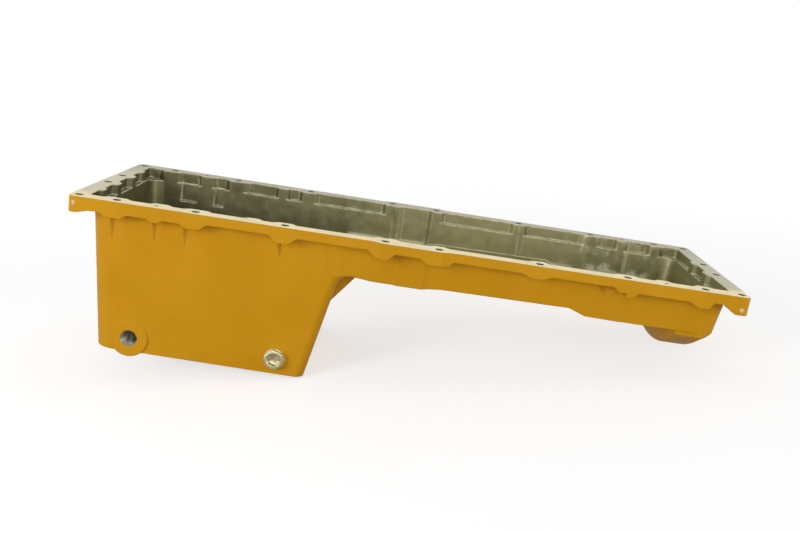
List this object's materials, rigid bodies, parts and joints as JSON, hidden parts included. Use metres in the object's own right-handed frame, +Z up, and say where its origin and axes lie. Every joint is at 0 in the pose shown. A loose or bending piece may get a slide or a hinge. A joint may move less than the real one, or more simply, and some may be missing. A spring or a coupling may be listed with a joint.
{
  "type": "engine oil pan",
  "caption": "Long cast engine oil pan with a shallow tray, a deep sump at one end, a scalloped bolting flange, a hexagon drain plug and an open threaded drain port.",
  "frame": {"origin": "centre of the rectangle of the four corner bolt holes, on the machined flange face", "axes": "+X along the pan towards its shallow end, +Z up out of the flange face, -Y towards the side with the drain ports"},
  "size_m": [0.9628, 0.3338, 0.2313],
  "materials": {
    "painted_casting": "cast aluminium, amber gloss paint outside, bare as cast inside, machined flange face",
    "plug_steel": "painted over hexagon head, bare socket",
    "washer_metal": "thin soft metal sealing washer"
  },
  "bodies": {
    "pan": {"pan_casting": "painted_casting"},
    "washer": {"sealing_washer": "washer_metal"},
    "plug": {"drain_plug": "plug_steel"}
  },
  "joints": [
    {"name": "plug_travel", "type": "slide", "parent": "pan", "child": "washer", "axis": [0, -1, 0], "range_m": [0, 0.018]},
    {"name": "plug_turn", "type": "hinge", "parent": "washer", "child": "plug", "pos_m": [-0.1795, -0.14, -0.2024], "axis": [0, -1, 0], "range_deg": [0, 4320]}
  ],
  "couplings": [
    {"joint": "plug_travel", "follows": "plug_turn", "m_per_rad": 0.00023873}
  ]
}
